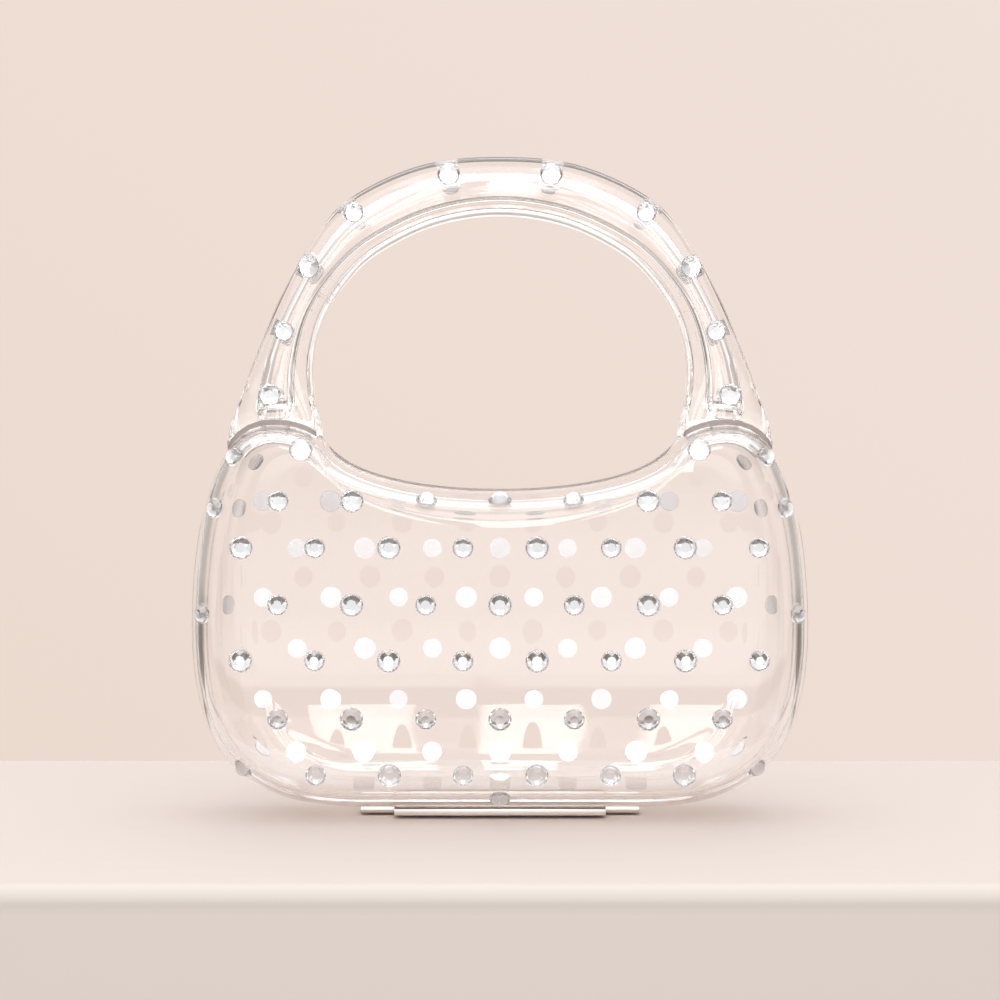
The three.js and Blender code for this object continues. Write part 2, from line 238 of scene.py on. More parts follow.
def silverFoil():
    material, tree = newMaterial("vapour silver foil")
    grainSize = 1.2 * mm
    where = addNode(tree, "ShaderNodeTexCoord").outputs["Object"]
    grain = addNode(tree, "ShaderNodeTexNoise", {"Vector": where, "Scale": 1 / grainSize, "Detail": 2.0})
    tone = addNode(tree, "ShaderNodeMix", {
        "Factor": grain.outputs["Fac"], 6: linear("#e8e6e5"), 7: linear("#d8d7d7")}, data_type="RGBA")
    dull = addNode(tree, "ShaderNodeMapRange", {
        "Value": grain.outputs["Fac"], "From Min": 0.3, "From Max": 0.7, "To Min": 0.05, "To Max": 0.1})
    foil = addNode(tree, "ShaderNodeBsdfPrincipled", {
        "Base Color": tone.outputs[2], "Metallic": 1.0, "Roughness": dull.outputs["Result"]})
    addNode(tree, "ShaderNodeOutputMaterial", {"Surface": foil.outputs[0]})
    return material


# Lacquer: silver paint, sprayed behind the foil.
# Satin pale discs, seen through the acrylic from the other side.

def silverLacquer():
    material, tree = newMaterial("sprayed silver lacquer")
    flakeSize = 0.35 * mm  # coarser than real flakes, so that they show
    where = addNode(tree, "ShaderNodeTexCoord").outputs["Object"]
    flakes = addNode(tree, "ShaderNodeTexVoronoi", {"Vector": where, "Scale": 1 / flakeSize})
    tone = addNode(tree, "ShaderNodeMix", {
        "Factor": flakes.outputs["Distance"], 6: linear("#f4f5f7"), 7: linear("#e9eaec")}, data_type="RGBA")
    satin = addNode(tree, "ShaderNodeMapRange", {
        "Value": flakes.outputs["Distance"], "From Min": 0.0, "From Max": 0.7,
        "To Min": 0.1, "To Max": 0.16})
    lacquer = addNode(tree, "ShaderNodeBsdfPrincipled", {
        "Base Color": tone.outputs[2], "Metallic": 0.75, "Roughness": satin.outputs["Result"]})
    addNode(tree, "ShaderNodeOutputMaterial", {"Surface": lacquer.outputs[0]})
    return material


# Hinge: stamped steel, nickel plated and brushed along its length.
# Satin streaks, a little warmer than chrome.

def brushedPlate():
    material, tree = newMaterial("brushed nickel plate")
    brushLength, brushWidth = 30 * mm, 0.35 * mm  # coarser than real brushing, so that it shows
    where = addNode(tree, "ShaderNodeTexCoord").outputs["Object"]
    stretch = addNode(tree, "ShaderNodeMapping", {
        "Vector": where, "Scale": (1 / brushLength, 1 / brushWidth, 1 / brushWidth)})
    brush = addNode(tree, "ShaderNodeTexNoise", {"Vector": stretch.outputs[0], "Scale": 1.0, "Detail": 3.0})
    tone = addNode(tree, "ShaderNodeMix", {
        "Factor": brush.outputs["Fac"], 6: linear("#f8f3ee"), 7: linear("#e2dbd5")}, data_type="RGBA")
    satin = addNode(tree, "ShaderNodeMapRange", {
        "Value": brush.outputs["Fac"], "From Min": 0.3, "From Max": 0.7, "To Min": 0.14, "To Max": 0.26})
    bump = addNode(tree, "ShaderNodeBump", {
        "Height": brush.outputs["Fac"], "Strength": 0.3, "Distance": 0.02 * mm})
    plate = addNode(tree, "ShaderNodeBsdfPrincipled", {
        "Base Color": tone.outputs[2], "Metallic": 1.0, "Roughness": satin.outputs["Result"],
        "Normal": bump.outputs["Normal"]})
    addNode(tree, "ShaderNodeOutputMaterial", {"Surface": plate.outputs[0]})
    return material


# Tape: grey foam that holds the leaves to the shells. A dark matt line along the top of the hinge, its dark
# grey painted shadow.

def shadowGapFoam():
    material, tree = newMaterial("grey foam tape")
    cellSize = 0.3 * mm
    where = addNode(tree, "ShaderNodeTexCoord").outputs["Object"]
    cells = addNode(tree, "ShaderNodeTexNoise", {"Vector": where, "Scale": 1 / cellSize, "Detail": 2.0})
    # the dark grey tones are painted shadow for the gap along the hinge's top
    tone = addNode(tree, "ShaderNodeMix", {
        "Factor": cells.outputs["Fac"], 6: linear("#5a504b"), 7: linear("#74685f")}, data_type="RGBA")
    shadowFoam = addNode(tree, "ShaderNodeBsdfPrincipled", {"Base Color": tone.outputs[2], "Roughness": 0.8})
    addNode(tree, "ShaderNodeOutputMaterial", {"Surface": shadowFoam.outputs[0]})
    return material


acrylic = mouldedAcrylic()
shadowGapTape = shadowGapFoam()
sandedShaded = sandedShadedEdge()
cementShade = setCementShade()
crystal = cutCrystal()
foil = silverFoil()
lacquer = silverLacquer()
plate = brushedPlate()
print("materials ready")

# Half shell: two outlines seen from the front, each as its right half from under the middle up to the middle
# of the neckline. The skin is lofted from the seam outline to the face outline, then over a low crown.
shellSize = {
    "seam": [  # each line is a knot and the two handles after it
        (0, 2.7), (15, 2.7), (30, 2.7),
        (45, 2.7), (81.8, 2.7), (97.6, 20.3),
        (97.6, 60), (97.6, 81.3), (94, 124.6),
        (72, 124.6), (64, 124.6), (57.9, 122.7),
        (54.1, 116.7), (49, 108.8), (28.2, 103.1),
        (0, 103.1)],
    "face": [
        (0, 16.3), (15, 16.3), (30, 16.3),
        (45, 16.3), (70.5, 16.3), (84.8, 31.8),
        (84.8, 60), (84.8, 84), (86, 114.9),
        (68, 114.9), (62, 114.9), (56.5, 111.2),
        (52.2, 106.9), (45.5, 100.5), (26, 93.7),
        (0, 93.7)],
    "outlineSteps": 18,       # on each stretch between knots
    "seamGap": 0.2,           # from the middle plane
    "wallDepth": 22,          # where the rounded edge starts
    "wallInset": 0.29,        # share of the way from the seam outline to the face outline there
    "edgePull": (0.47, 28.9),  # inset share and depth that the rounded edge bends towards
    "faceEdge": 29.3,
    "dome": {"rise": 3, "middle": 45,  # the face bulges, fullest low down
             "reachX": 120, "reachUp": 70, "reachDown": 22.5},
    "ringMiddle": 45,         # height that the face's rings close in on
    "wallSteps": 6, "edgeSteps": 14,
    "faceRings": (0.95, 0.88, 0.78, 0.65, 0.5, 0.32, 0.14),
    "thickness": 1.8,
    "bead": {                 # along the seam, with ends that dive into the wall
        "radius": 1, "sink": 0.3, "offSeam": 0.1, "sides": 16,
        "neck": 56.5,         # half length along the neckline, between the handle's feet
        "low": 49, "high": 113,  # down each side, from beside the hinge to below the handle
        "taper": 5,           # points at each end, over which it thins to a share of its radius
        "endShare": 0.35, "endSink": 0.5},
    "relief": {"rise": 0.4, "halfLength": 45.5, "below": 10},  # lifts the seam edge off the hinge barrel
}


def closedOutline(name):
    half = bezierChain([(x, 0, z) for x, z in shellSize[name]], shellSize["outlineSteps"])
    return half + [Vector((-p.x, 0, p.z)) for p in half[-2:0:-1]]


def shellProfile():  # inset share and depth, from the seam to the edge of the face
    deep, share, steps = shellSize["wallDepth"], shellSize["wallInset"], shellSize["wallSteps"]
    profile = [(share * (i / steps) ** 2, deep * i / steps) for i in range(steps)]
    profile[0] = (0, shellSize["seamGap"])
    start, pull, end = (share, deep), shellSize["edgePull"], (1, shellSize["faceEdge"])
    handles = [tuple(a + (b - a) * 2 / 3 for a, b in zip(knot, pull)) for knot in (start, end)]
    edge = bezierChain([(*start, 0), (*handles[0], 0), (*handles[1], 0), (*end, 0)], shellSize["edgeSteps"])
    return profile + [(p.x, p.y) for p in edge]


def domed(p, depth, share):  # a point of the outline plane, moved out to its depth
    dome = shellSize["dome"]
    off = p.z - dome["middle"]
    fall = (off / dome["reachUp" if off > 0 else "reachDown"]) ** 2
    bulge = 1 - (p.x / dome["reachX"]) ** 2 - fall
    return Vector((p.x, -depth - dome["rise"] * bulge * share ** 2, p.z)) * mm


def shellSkin():
    seam, face = closedOutline("seam"), closedOutline("face")
    relief = shellSize["relief"]
    rings = []
    for inset, depth in shellProfile():
        rings.append([domed(a.lerp(b, inset), depth, inset) for a, b in zip(seam, face)])
    for p in rings[0]:
        if p.z < relief["below"] * mm and abs(p.x) < relief["halfLength"] * mm:
            p.z += relief["rise"] * mm
    middle = Vector((0, 0, shellSize["ringMiddle"]))
    for scale in shellSize["faceRings"]:
        rings.append([domed(middle.lerp(p, scale), shellSize["faceEdge"], 1) for p in face])
    bm = loftRings(rings)
    rim = [e for e in bm.edges if e.is_boundary and e.verts[0].co.y < -shellSize["faceEdge"] * mm]
    bmesh.ops.contextual_create(bm, geom=rim)
    bmesh.ops.recalc_face_normals(bm, faces=bm.faces)
    if min(bm.faces, key=lambda f: f.calc_center_median().y).normal.y > 0:
        bmesh.ops.reverse_faces(bm, faces=bm.faces)
    return bm


def beadPaths():  # along the neckline, and down the right and the left side
    bead, seam = shellSize["bead"], closedOutline("seam")
    neck = [p for p in seam if abs(p.x) < bead["neck"] and p.z > shellSize["ringMiddle"]]
    rest = [p for p in seam if p not in neck and abs(p.x) > bead["low"] and p.z < bead["high"]]
    return neck, [p for p in rest if p.x > 0], [p for p in rest if p.x < 0]


def seamBead(path):
    bead = shellSize["bead"]
    thin = bead["endShare"]
    out = shellSize["seamGap"] + bead["offSeam"] + bead["radius"]
    turns = [2 * pi * i / bead["sides"] for i in range(bead["sides"])]
    rings = []
    for i, p in enumerate(path):
        along = (path[min(i + 1, len(path) - 1)] - path[max(i - 1, 0)]).normalized()
        up = Vector((along.z, 0, -along.x))
        full = min(i, len(path) - 1 - i, bead["taper"]) / bead["taper"]
        radius = bead["radius"] * (thin + (1 - thin) * full)
        sink = bead["sink"] + bead["endSink"] * (1 - full)
        rings.append([(p + up * (radius * cos(a) - sink) + Vector((0, radius * sin(a) - out, 0))) * mm
                      for a in turns])
    bm = loftRings(rings)
    closeEnds(bm)
    return bm


def shellCutter(most):  # the body as a closed form, a little larger, and more so towards the front
    seat = handleSize["seat"]
    bm = shellSkin()
    bm.normal_update()
    for v in bm.verts:
        flare = min(max((-v.co.y / mm - seat["flareFrom"]) / seat["flareOver"], 0), 1)
        v.co += v.normal * (seat["gap"] + most * flare) * mm
    rim = [e for e in bm.edges if e.is_boundary]
    grown = bmesh.ops.extrude_edge_only(bm, edges=rim)["geom"]
    bmesh.ops.translate(bm, verts=vertsOf(grown), vec=(0, seat["pastSeam"] * mm, 0))
    bmesh.ops.contextual_create(bm, geom=[e for e in bm.edges if e.is_boundary])
    bmesh.ops.recalc_face_normals(bm, faces=bm.faces)
    return meshObject(bm, "shellCutter")


shellTree = treeOf(shellSkin())
for side, turn in halves.items():
    shellMesh = shellSkin()
    bmesh.ops.transform(shellMesh, matrix=turn, verts=shellMesh.verts)
    shell = meshObject(shellMesh, f"{side}Shell", acrylic, sandedShaded)
    wall = shell.modifiers.new("wall", "SOLIDIFY")
    wall.thickness = shellSize["thickness"] * mm
    wall.offset = -1
    wall.use_even_offset = True
    # the sanded rim's taupe tint is painted shade
    wall.material_offset_rim = 1  # the edge at the seam is sanded
    settle(shell)
    for path in beadPaths():
        beadMesh = seamBead(path)
        bmesh.ops.transform(beadMesh, matrix=turn, verts=beadMesh.verts)
        cut(shell, meshObject(beadMesh, "seamBead"), "UNION")
    smoothed(shell, angle=40)
    dress(shell, f"{side}_half", "clear_acrylic", f"{side}_shell")
print("shells made")

# Half handle: sections of the arch from the top down one leg into the shoulder, outer edge to inner edge
handleSize = {
    "sections": [  # outer x and z, inner x and z, half depth, outer wall, inner wall
        (0, 209, 0, 191.5, 9, 5.5, 3.9), (25.4, 206.2, 20.5, 188.4, 9, 5.5, 3.9),
        (48.6, 195.1, 38.6, 179.8, 9.2, 5.2, 4), (61, 180.2, 49.1, 170.3, 9.8, 4.5, 4.2),
        (69.3, 164.7, 56.4, 158.9, 10.8, 4, 4.4), (76.2, 148.4, 59.8, 146.3, 12.2, 4, 4.6),
        (81.2, 134.6, 59.7, 134.5, 13.6, 5.4, 5.4), (85.9, 119.5, 57.2, 122, 15, 7, 6.5),
        (84.5, 110, 59, 112, 15, 7, 6.5)],
    "steps": 14,              # from one section to the next
    "sectionSteps": 7, "hollowSteps": 6,  # on each stretch round a section
    "seamGap": 0.2,
    "crest": 0.55,            # share of the width where the crowned front stands highest
    "draft": 0.4,
    "frontWall": 3,
    "foot": 1.25,             # solid foot, counted in sections from the buried end
    "hollowEnd": 8,           # the hollow's ends are rounded over this many steps
    "endRings": (0.02, 0.08, 0.18, 0.32, 0.5, 0.7),  # shares of the way along that end
    "pastSeam": 2,            # the hollow is cut from beyond the middle plane
    # the cement in the undercut is tinted taupe as painted shade
    "seat": {                 # the foot is undercut towards the front, and cement fills the undercut
        "gap": 0.3, "flareFrom": 11, "flareOver": 4, "flare": 2.2, "shadeBondGap": 0.15,
        "pastSeam": 6},
}


def archStations():  # outer edge, inner edge and walls all round the arch
    rows = handleSize["sections"]
    rows = [(-ox, oz, -ix, *rest) for ox, oz, ix, *rest in rows[:0:-1]] + rows
    outer = easedThrough([Vector((ox, -d, oz)) for ox, oz, ix, iz, d, ow, iw in rows], handleSize["steps"])
    inner = easedThrough([Vector((ix, -d, iz)) for ox, oz, ix, iz, d, ow, iw in rows], handleSize["steps"])
    walls = easedThrough([Vector((ow, iw, 0)) for ox, oz, ix, iz, d, ow, iw in rows], handleSize["steps"])
    return list(zip(outer, inner, walls))


def archSection(wide, deep, walls):  # across from the outer edge, against distance from the middle plane
    gap, crest, inner = handleSize["seamGap"], wide * handleSize["crest"], wide - handleSize["draft"]
    return bezierChain([
        (-0.8, gap, 0), (-0.7, deep * 0.3, 0), (-0.2, deep * 0.5, 0), (0.3, deep - 4, 0),
        (0.7, deep - 2.4, 0), (1.5, deep - 1.4, 0), (2.9, deep - 1, 0),
        (4.9, deep - 0.34, 0), (crest - 2.5, deep, 0), (crest, deep, 0),
        (crest + 2, deep, 0), (inner - 3, deep - 0.5, 0), (inner - 1, deep - 0.9, 0),
        (inner - 0.4, deep - 1.0, 0), (inner, deep - 1.4, 0), (inner, deep - 2, 0),
        (inner + 0.1, deep * 0.6, 0), (wide - 0.1, deep * 0.3, 0), (wide, gap, 0)],
        handleSize["sectionSteps"])


def hollowSection(wide, deep, walls):  # open towards the other half
    low, inner, floor = walls.x, wide - walls.y, (deep - handleSize["frontWall"]) * walls.z
    low, inner = Vector((low, inner)).lerp(Vector((inner, low)), (1 - walls.z) / 2)
    third, past = (inner - low) / 3, handleSize["pastSeam"]
    return bezierChain([
        (low, -past, 0), (low, floor * 0.3, 0), (low, floor * 0.5, 0), (low, floor * 0.65, 0),
        (low, floor * 0.87, 0), (low + third * 0.4, floor, 0), (low + third, floor, 0),
        (low + third * 1.3, floor, 0), (low + third * 1.7, floor, 0), (low + third * 2, floor, 0),
        (inner - third * 0.4, floor, 0), (inner, floor * 0.87, 0), (inner, floor * 0.65, 0),
        (inner, floor * 0.5, 0), (inner, floor * 0.3, 0), (inner, -past, 0)], handleSize["hollowSteps"])


def archForm(sectionAt, leaveOut=0, roundOver=0):  # the ends are closed in over some of the last steps
    stations = archStations()
    last = len(stations) - 1
    skip = leaveOut * handleSize["steps"]
    places = [skip + roundOver * share for share in handleSize["endRings"]] if roundOver else []
    start = round(skip + roundOver)
    places += [*range(start, last - start + 1), *(last - t for t in places[::-1])]
    rings = []
    for t in places:
        k = min(int(t), last - 1)
        outer, inner, walls = (a.lerp(b, t - k) for a, b in zip(stations[k], stations[k + 1]))
        near = (min(t, last - t) - skip) / roundOver if roundOver else 1
        walls.z = (1 - (1 - min(near, 1)) ** 2) ** 0.5  # the share of the hollow left here
        across = inner - outer
        section = sectionAt(across.length, -outer.y, walls)
        ring = [outer + across * (p.x / across.length) for p in section]
        rings.append([Vector((q.x, -p.y, q.z)) * mm for p, q in zip(section, ring)])
    bm = loftRings(rings)
    closeEnds(bm)
    return bm


archTree = treeOf(archForm(archSection))
seat = handleSize["seat"]
for side, turn in halves.items():
    handle = meshObject(archForm(archSection), f"{side}Handle", acrylic)
    hollow = archForm(hollowSection, handleSize["foot"], handleSize["hollowEnd"])
    cut(handle, meshObject(hollow, "archHollow"))
    cut(handle, shellCutter(seat["flare"]))
    # the bond piece is cement tinted taupe: painted shade under the foot
    shadeBond = meshObject(archForm(archSection), f"{side}ShadeBond", cementShade)
    cut(shadeBond, shellCutter(0))
    cut(shadeBond, shellCutter(seat["flare"] - seat["shadeBondGap"]), "INTERSECT")
    for piece in (handle, shadeBond):
        piece.data.transform(turn)
        smoothed(piece, angle=35)
        dress(piece, f"{side}_half", "clear_acrylic", f"{side}_handle")
print("handle made")

# Stones: flat-backed crystals in two sizes, a table and two tiers of facets over a thin girdle
stoneSize = {
    "large": 7.2, "small": 6.4,
    "girdle": 0.07,           # heights and radii as shares of the diameter
    "waist": (0.39, 0.2),     # radius and height where the two tiers meet
    "table": (0.24, 0.34),
    "lacquer": (0.475, -0.004, -0.014),  # radius, top and bottom of the painted disc behind
    "sides": 8,
    "lift": 0.12,             # from the acrylic, for the glue
    "halfPitch": 11.3,        # between one stone and the next of the row below
    # rows from the top: height, and half pitches out to the last stone
    "frontRows": [(99.8, 6), (85.5, 7), (68.1, 6), (51.1, 7), (33.4, 6), (15.7, 5)],
    "backRows": [(99.8, 7), (84.2, 6), (67.8, 7), (50.7, 6), (33.7, 7), (16.5, 6)],
    "edge": [(61, 115.4, "large"), (81.5, 113.2, "small"), (87.2, 97.6, "small"), (91, 65.4, "small"),
             (79, 17.6, "small")],
    "under": (0, 8.6, "small"),
    "handle": [(16.2, 203), (46.2, 190.9), (60.4, 173.6), (68, 153.2), (72.2, 133)],
}


def unitStone():
    bm = bmesh.new()
    sides = stoneSize["sides"]
    waistRadius, waistHeight = stoneSize["waist"]
    tableRadius, tableHeight = stoneSize["table"]
    tiers = [(0.5, 0, 2 * sides, 0), (0.5, stoneSize["girdle"], 2 * sides, 0),
             (waistRadius, waistHeight, sides, 0.5), (tableRadius, tableHeight, sides, 0)]
    for radius, height, count, offset in tiers:
        for i in range(count):
            angle = 2 * pi * (i + offset) / count
            bm.verts.new((radius * cos(angle), radius * sin(angle), height))
    bmesh.ops.convex_hull(bm, input=bm.verts)
    bmesh.ops.dissolve_limit(bm, angle_limit=radians(1), verts=bm.verts, edges=bm.edges)
    bmesh.ops.recalc_face_normals(bm, faces=bm.faces)
    for f in bm.faces:
        f.material_index = int(f.normal.z < -0.9)  # the flat back is foiled
    radius, top, bottom = stoneSize["lacquer"]
    disc = bmesh.ops.create_cone(bm, cap_ends=True, segments=2 * sides, radius1=radius, radius2=radius,
                                 depth=top - bottom)["verts"]
    bmesh.ops.translate(bm, vec=(0, 0, (top + bottom) / 2), verts=disc)
    for f in {f for v in disc for f in v.link_faces}:
        f.material_index = 2
    mesh = bpy.data.meshes.new("unitStone")
    bm.to_mesh(mesh)
    bm.free()
    return mesh


def setStones(name, tree, turn, places):
    bm = bmesh.new()
    stone = unitStone()
    for x, z, size in places:
        start = Vector((x * mm, -1, z * mm))  # well in front
        spot, facing, _, _ = tree.ray_cast(start, Vector((0, 1, 0)))
        upright = facing.to_track_quat("Z", "Y").to_matrix().to_4x4()
        seat = Matrix.Translation(spot + facing * stoneSize["lift"] * mm) @ upright
        before = len(bm.verts)
        bm.from_mesh(stone)
        bm.verts.ensure_lookup_table()
        fresh = bm.verts[before:]
        bmesh.ops.transform(bm, matrix=turn @ seat @ Matrix.Scale(stoneSize[size] * mm, 4), verts=fresh)
    bpy.data.meshes.remove(stone)
    return meshObject(bm, name, crystal, foil, lacquer)


def shellPlaces(rows):
    places = [stoneSize["under"]]
    for z, reach in rows:
        for k in range(-reach, reach + 1, 2):
            places.append((k * stoneSize["halfPitch"], z, "large" if k % 4 < 2 else "small"))
    for x, z, size in stoneSize["edge"]:
        places += [(x, z, size), (-x, z, size)]
    return places


def handlePlaces():
    sizes = ["large" if i % 2 == 0 else "small" for i in range(len(stoneSize["handle"]))]
    return [(s * x, z, size) for s in (-1, 1) for (x, z), size in zip(stoneSize["handle"], sizes)]


for side, turn in halves.items():
    shellStones = setStones(f"{side}ShellStones", shellTree, turn, shellPlaces(stoneSize[f"{side}Rows"]))
    dress(shellStones, f"{side}_half", "crystal", f"{side}_shell")
    handleStones = setStones(f"{side}HandleStones", archTree, turn, handlePlaces())
    stoneNodes = [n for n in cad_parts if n.startswith(f"{side}_handle_stone")]
    dress(handleStones, f"{side}_half", "crystal", *stoneNodes)
print("stones set")

# Hinge: two wedge leaves under the shells with rolled knuckles, and a pin with domed ends
hingeSize = {
    "halfLength": 44.5,
    "split": 33.4,            # half length of the front leaf's knuckle
    "fit": 0.3,               # between one knuckle and the next
    "axis": 1.373,            # height of the pin
    "barrel": 1.37, "bore": 0.9, "pin": 0.6,  # radii
    "barrelSteps": 40, "pinSteps": 24,
    "nip": 0.2,               # bevel on the ends of a knuckle
    "boreOver": 1,            # the bore is cut from beyond the knuckle's ends
    "pinDome": 0.5, "domeSteps": 6,
    "leaf": {"reach": 9, "clear": 2, "foot": 3.6, "round": 0.15,
             "thick": 2.4, "edgeThick": 2.75, "flange": 2.1},
    "web": {"low": 0.2, "into": 1, "under": 0.1},  # joins a knuckle to its leaf
    # tape between the leaf's edge and the shell, dark as painted shadow
    "strip": {"thick": 0.45, "wide": 0.9, "inset": 0.1, "endGap": 0.2, "gap": 0.02},
}


def boxBetween(bm, low, high):
    low, high = Vector(low) * mm, Vector(high) * mm
    verts = bmesh.ops.create_cube(bm, size=1)["verts"]
    bmesh.ops.scale(bm, vec=high - low, verts=verts)
    bmesh.ops.translate(bm, vec=(low + high) / 2, verts=verts)
    return verts


def turned(profile, steps):  # a profile of length and radius, spun about the pin's axis
    bm = bmesh.new()
    height = hingeSize["axis"]
    verts = [bm.verts.new(Vector((x, 0, height + r)) * mm) for x, r in profile]
    loop = profile[0][1] > 0
    edges = [bm.edges.new(pair) for pair in zip(verts, verts[1:] + verts[:1] if loop else verts[1:])]
    bmesh.ops.spin(bm, geom=verts + edges, cent=(0, 0, height * mm), axis=(1, 0, 0), dvec=(0, 0, 0),
                   angle=2 * pi, steps=steps, use_merge=True)
    bmesh.ops.remove_doubles(bm, verts=bm.verts, dist=0.001 * mm)
    bmesh.ops.recalc_face_normals(bm, faces=bm.faces)
    return bm


def hingeLeaf(name, facing, halfLength, knuckles):
    leaf, web, steps = hingeSize["leaf"], hingeSize["web"], hingeSize["barrelSteps"]
    inner, outer, nip, over = (hingeSize[k] for k in ("bore", "barrel", "nip", "boreOver"))
    bm = bmesh.new()
    rise = leaf["thick"] + (leaf["edgeThick"] - leaf["thick"]) * leaf["clear"] / leaf["reach"]
    outline = [(leaf["clear"], 0), (leaf["foot"], 0), (leaf["foot"], rise - leaf["flange"]),
               (leaf["reach"], leaf["edgeThick"] - leaf["flange"]), (leaf["reach"], leaf["edgeThick"]),
               (leaf["clear"], rise)]
    end = bm.faces.new([bm.verts.new(Vector((-halfLength, y, z)) * mm) for y, z in outline])
    grown = bmesh.ops.extrude_face_region(bm, geom=[end])["geom"]
    bmesh.ops.translate(bm, vec=(2 * halfLength * mm, 0, 0), verts=vertsOf(grown))
    bmesh.ops.recalc_face_normals(bm, faces=bm.faces)
    bmesh.ops.bevel(bm, geom=bm.edges[:], offset=leaf["round"] * mm, segments=2, profile=0.5,
                    affect="EDGES", material=-1)
    made = meshObject(bm, name, plate)
    for low, high in knuckles:
        bridge = bmesh.new()
        boxBetween(bridge, (low, 0, web["low"]),
                   (high, leaf["clear"] + web["into"], leaf["thick"] - web["under"]))
        cut(made, meshObject(bridge, "web"), "UNION")
        roll = turned([(low, inner), (low, outer - nip), (low + nip, outer), (high - nip, outer),
                       (high, outer - nip), (high, inner)], steps)
        cut(made, meshObject(roll, "roll"), "UNION")
        bore = turned([(low - over, 0), (low - over, inner), (high + over, inner), (high + over, 0)], steps)
        cut(made, meshObject(bore, "bore"))
    if facing < 0:
        made.data.transform(Matrix.Rotation(pi, 4, "Z"))
    smoothed(made, angle=35)
    return made


def pinProfile(end):  # length and radius, with a dome at each end
    bulge, steps = hingeSize["pinDome"], hingeSize["domeSteps"]
    turns = [pi * i / (2 * steps) for i in range(steps + 1)]
    dome = [(end - bulge + bulge * sin(a), hingeSize["pin"] * cos(a)) for a in turns]
    return [(-x, r) for x, r in dome[::-1]] + dome


def edgeShadowTape(turn):
    leaf, strip = hingeSize["leaf"], hingeSize["strip"]
    end, edge, top = hingeSize["split"] - strip["endGap"], -leaf["reach"], leaf["edgeThick"]
    bm = bmesh.new()
    boxBetween(bm, (-end, edge + strip["inset"], top + strip["gap"]),
               (end, edge + strip["wide"], top + strip["thick"]))
    bmesh.ops.transform(bm, matrix=turn, verts=bm.verts)
    return bm


reachEnd, splitEnd = hingeSize["halfLength"], hingeSize["split"] + hingeSize["fit"]
frontLeaf = hingeLeaf("frontLeaf", -1, hingeSize["split"], [(-hingeSize["split"], hingeSize["split"])])
backLeaf = hingeLeaf("backLeaf", 1, reachEnd, [(-reachEnd, -splitEnd), (splitEnd, reachEnd)])
pin = meshObject(turned(pinProfile(reachEnd), hingeSize["pinSteps"]), "hingePin", plate)
smoothed(pin, angle=50)
for side, turn in halves.items():
    # each half's tape is a dark strip: painted shadow along the hinge's top
    shadowTape = meshObject(edgeShadowTape(turn), f"{side}ShadowTape", shadowGapTape)
    dress(shadowTape, f"{side}_half", "hinge_metal", f"hinge_{side}_leaf")
dress(frontLeaf, "front_half", "hinge_metal", "hinge_front_leaf")
dress(backLeaf, "back_half", "hinge_metal", "hinge_back_leaf")
dress(pin, "back_half", "hinge_metal", "hinge_pin")
print("hinge made")

# Stage: a pale table with a rounded front edge, and a pale lit wall well behind it
stageSize = {
    "tableBack": 140, "tableFront": -125, "tableSide": 1300, "tableFoot": -700,
    "tableDrop": 0.4,         # below the hinge
    "edgeRound": 5,
    # the front is painted lighter than the top: painted light on the front face
    "toneLow": -8, "toneHigh": -2,  # heights between which the front's tone gives way to the top's
    "wallBack": 1100, "wallThick": 20, "wallSide": 640, "wallLow": -170, "wallHigh": 780,
}


# Table: board, sprayed with matt lacquer. Warm and pale, with soft reflections that don't show the bag.

def tablePaint():
    material, tree = newMaterial("matt table lacquer")
    where = addNode(tree, "ShaderNodeTexCoord").outputs["Object"]
    paintedLightMask = addNode(tree, "ShaderNodeMapRange", {
        "Value": addNode(tree, "ShaderNodeSeparateXYZ", {0: where}).outputs["Z"],
        "From Min": stageSize["toneLow"] * mm, "From Max": stageSize["toneHigh"] * mm})
    # below toneLow the front gets the lighter tone: painted light
    tone = addNode(tree, "ShaderNodeMix", {
        "Factor": paintedLightMask.outputs[0], 6: linear("#d4c9c2"), 7: linear("#c3b9b3")}, data_type="RGBA")
    paint = addNode(tree, "ShaderNodeBsdfPrincipled", {"Base Color": tone.outputs[2], "Roughness": 0.6})
    addNode(tree, "ShaderNodeOutputMaterial", {"Surface": paint.outputs[0]})
    return material


# Wall: matt backdrop paper that glows as if lit. Even and warm, a touch darker to the lower left.

def wallPaper():
    material, tree = newMaterial("lit backdrop paper")
    where = addNode(tree, "ShaderNodeTexCoord").outputs["Object"]
    slope = addNode(tree, "ShaderNodeMapping", {
        "Vector": where, "Location": (0.5, 0, 0), "Rotation": (0, radians(50), 0), "Scale": (0.6, 1, 0.6)})
    fade = addNode(tree, "ShaderNodeTexGradient", {"Vector": slope.outputs[0]})
    tone = addNode(tree, "ShaderNodeMix", {
        "Factor": fade.outputs["Fac"], 6: linear("#e9d7ca"), 7: linear("#f1e2da")}, data_type="RGBA")
    paper = addNode(tree, "ShaderNodeBsdfPrincipled", {
        "Base Color": linear("#000000"), "Roughness": 1.0, "Emission Color": tone.outputs[2],
        "Emission Strength": 1.0, "Specular IOR Level": 0.0})
    addNode(tree, "ShaderNodeOutputMaterial", {"Surface": paper.outputs[0]})
    return material


